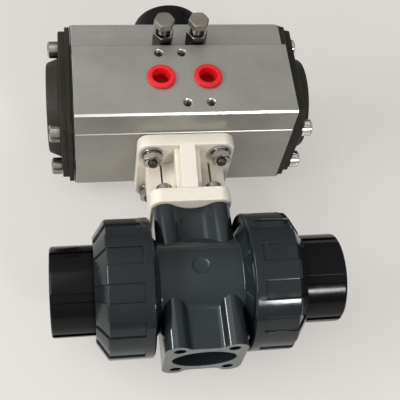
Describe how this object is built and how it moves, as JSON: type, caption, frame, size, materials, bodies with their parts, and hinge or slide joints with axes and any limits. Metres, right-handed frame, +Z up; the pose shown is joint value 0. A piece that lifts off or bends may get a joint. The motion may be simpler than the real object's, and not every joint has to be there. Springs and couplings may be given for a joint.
{
  "type": "pneumatically actuated ball valve",
  "caption": "Quarter-turn plastic union ball valve with a rack-and-pinion air actuator on a moulded bracket, lying with its air ports up.",
  "frame": {"origin": "centre of the bounding box, on the floor the valve lies on", "axes": "+X along the pipe, +Y up the valve's stem from its foot to its indicator, +Z up, out of the actuator's air-port face"},
  "size_m": [0.141, 0.2064, 0.0877],
  "materials": {
    "slate_plastic": "semi-gloss dark slate PVC",
    "black_plastic": "glossy black plastic",
    "cream_plastic": "satin cream moulded plastic",
    "seat_plastic": "smooth white bearing plastic",
    "seal_rubber": "matt black rubber",
    "red_plastic": "soft red plastic",
    "anodised_aluminium": "satin hard-anodised extrusion",
    "dark_cast_aluminium": "satin dark olive-grey coated casting",
    "gear_steel": "machined steel",
    "fastener_steel": "stainless steel"
  },
  "bodies": {
    "valve": {"actuator_body": "anodised_aluminium", "ball_seat_left": "seat_plastic", "ball_seat_right": "seat_plastic", "bracket_screw_1": "fastener_steel", "bracket_screw_2": "fastener_steel", "bracket_screw_3": "fastener_steel", "bracket_screw_4": "fastener_steel", "cap_gasket_left": "seal_rubber", "cap_gasket_right": "seal_rubber", "cap_screw_left_1": "fastener_steel", "cap_screw_left_2": "fastener_steel", "cap_screw_left_3": "fastener_steel", "cap_screw_left_4": "fastener_steel", "cap_screw_right_1": "fastener_steel", "cap_screw_right_2": "fastener_steel", "cap_screw_right_3": "fastener_steel", "cap_screw_right_4": "fastener_steel", "end_cap_left": "dark_cast_aluminium", "end_cap_right": "dark_cast_aluminium", "end_connector_left": "black_plastic", "end_connector_right": "black_plastic", "face_ring_left": "seal_rubber", "face_ring_right": "seal_rubber", "mounting_bracket": "cream_plastic", "pinion_bush_lower": "seat_plastic", "pinion_bush_upper": "seat_plastic", "port_plug_left": "red_plastic", "port_plug_right": "red_plastic", "seat_carrier": "slate_plastic", "seat_ring_left": "seal_rubber", "seat_ring_right": "seal_rubber", "stop_nut_left": "fastener_steel", "stop_nut_right": "fastener_steel", "thrust_washer": "seat_plastic", "valve_body": "slate_plastic", "valve_screw_1": "fastener_steel", "valve_screw_2": "fastener_steel", "valve_screw_3": "fastener_steel", "valve_screw_4": "fastener_steel"},
    "drive": {"ball": "slate_plastic", "stem": "seat_plastic", "stem_ring_lower": "seal_rubber", "stem_ring_upper": "seal_rubber", "stem_coupling": "gear_steel", "pinion": "gear_steel", "stop_cam": "gear_steel", "pinion_circlip": "fastener_steel", "position_indicator": "black_plastic", "indicator_screw": "fastener_steel"},
    "piston_left": {"piston_left": "anodised_aluminium", "piston_ring_left": "seal_rubber", "piston_guide_left": "seat_plastic"},
    "piston_right": {"piston_right": "anodised_aluminium", "piston_ring_right": "seal_rubber", "piston_guide_right": "seat_plastic"},
    "union_nut_left": {"union_nut_left": "slate_plastic"},
    "union_nut_right": {"union_nut_right": "slate_plastic"},
    "stop_screw_left": {"stop_screw_left": "fastener_steel"},
    "stop_screw_right": {"stop_screw_right": "fastener_steel"}
  },
  "joints": [
    {"name": "quarter_turn", "type": "hinge", "parent": "valve", "child": "drive", "pos_m": [0, 0.0443, 0.0342], "axis": [0, 1, 0], "range_deg": [0, 90]},
    {"name": "piston_right_stroke", "type": "slide", "parent": "valve", "child": "piston_right", "axis": [1, 0, 0], "range_m": [0, 0.0126]},
    {"name": "piston_left_stroke", "type": "slide", "parent": "valve", "child": "piston_left", "axis": [-1, 0, 0], "range_m": [0, 0.0126]},
    {"name": "union_nut_left_turn", "type": "hinge", "parent": "valve", "child": "union_nut_left", "pos_m": [-0.036, -0.0649, 0.0342], "axis": [-1, 0, 0], "continuous": true},
    {"name": "union_nut_right_turn", "type": "hinge", "parent": "valve", "child": "union_nut_right", "pos_m": [0.036, -0.0649, 0.0342], "axis": [1, 0, 0], "continuous": true},
    {"name": "stop_screw_left_adjust", "type": "slide", "parent": "valve", "child": "stop_screw_left", "axis": [0, 0, 1], "range_m": [0, 0.003]},
    {"name": "stop_screw_right_adjust", "type": "slide", "parent": "valve", "child": "stop_screw_right", "axis": [0, 0, 1], "range_m": [0, 0.003]}
  ],
  "couplings": [
    {"joint": "piston_right_stroke", "follows": "quarter_turn", "m_per_rad": 0.008},
    {"joint": "piston_left_stroke", "follows": "quarter_turn", "m_per_rad": 0.008}
  ]
}
